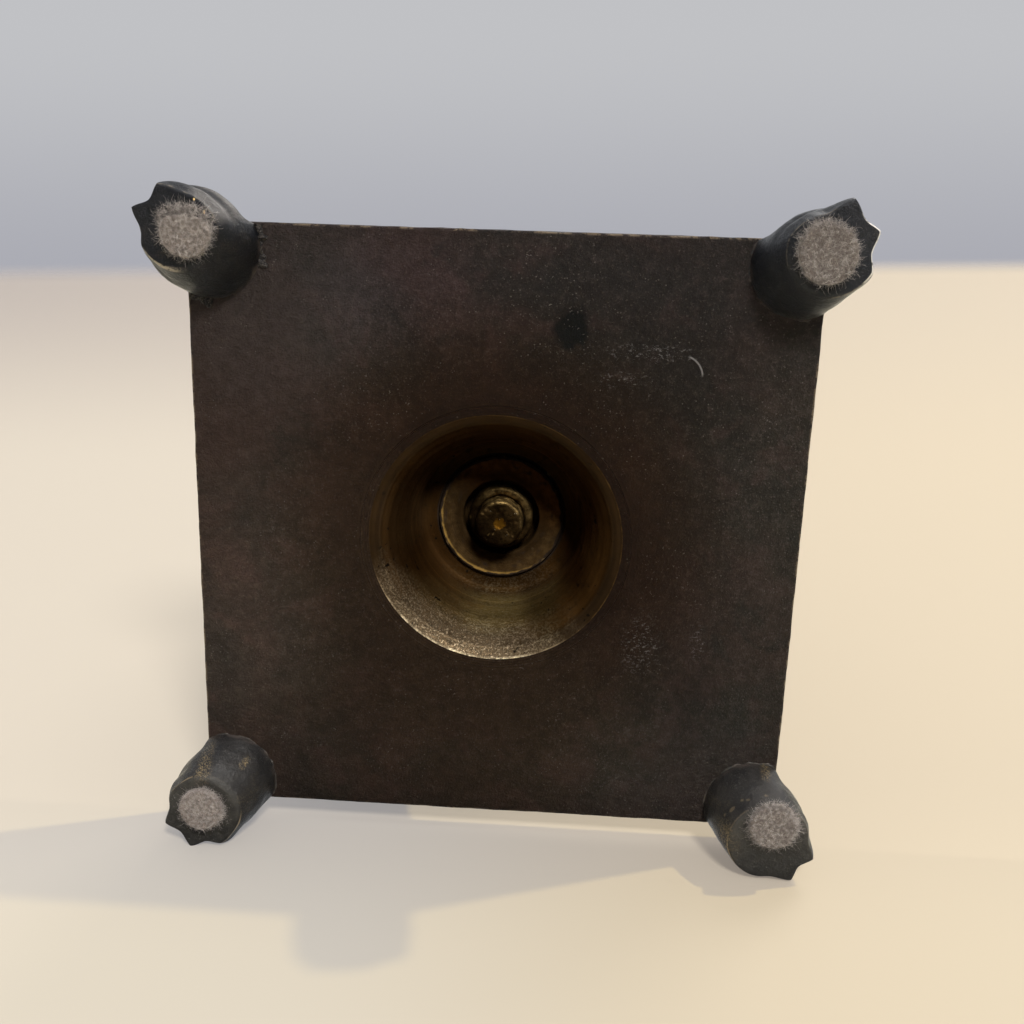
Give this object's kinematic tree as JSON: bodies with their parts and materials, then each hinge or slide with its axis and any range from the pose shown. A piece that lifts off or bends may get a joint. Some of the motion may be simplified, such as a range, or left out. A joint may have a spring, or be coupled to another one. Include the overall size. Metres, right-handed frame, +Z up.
{
  "type": "flower frog",
  "caption": "Footed metal flower frog: a square plate on claw feet carries a turned stem, a round bowl and a pierced dome that lifts out.",
  "frame": {"origin": "on the ground under the middle of the object, at the level of the felt pads' lower faces", "axes": "+Z up along the rod and the stem, +X to the right and +Y to the back, both square to the plate's edges"},
  "size_m": [0.122, 0.122, 0.1279],
  "materials": {
    "plate_bronze": "cast bronze with a dark brown patina, satin, finely pitted",
    "dark_bronze": "cast bronze with a blue-black patina, worn to metal on the edges",
    "aged_brass": "turned brass with lathe rings, aged to olive brown",
    "felt": "grey-beige fuzzy felt"
  },
  "bodies": {
    "stand": {"base_plate": "plate_bronze", "claw_foot_front_left": "dark_bronze", "claw_foot_front_right": "dark_bronze", "claw_foot_back_left": "dark_bronze", "claw_foot_back_right": "dark_bronze", "felt_pad_front_left": "felt", "felt_pad_front_right": "felt", "felt_pad_back_left": "felt", "felt_pad_back_right": "felt", "pedestal_bell": "aged_brass", "rod_nut": "aged_brass", "tie_rod": "aged_brass", "stem_ring": "dark_bronze", "stem_knop": "dark_bronze", "bowl_calyx": "dark_bronze", "bowl": "plate_bronze"},
    "dome": {"frog_dome": "dark_bronze", "frog_knob": "aged_brass", "knob_nut": "aged_brass"}
  },
  "joints": [
    {"name": "frog_lift", "type": "slide", "parent": "stand", "child": "dome", "axis": [0, 0, 1], "range_m": [0, 0.05]}
  ]
}
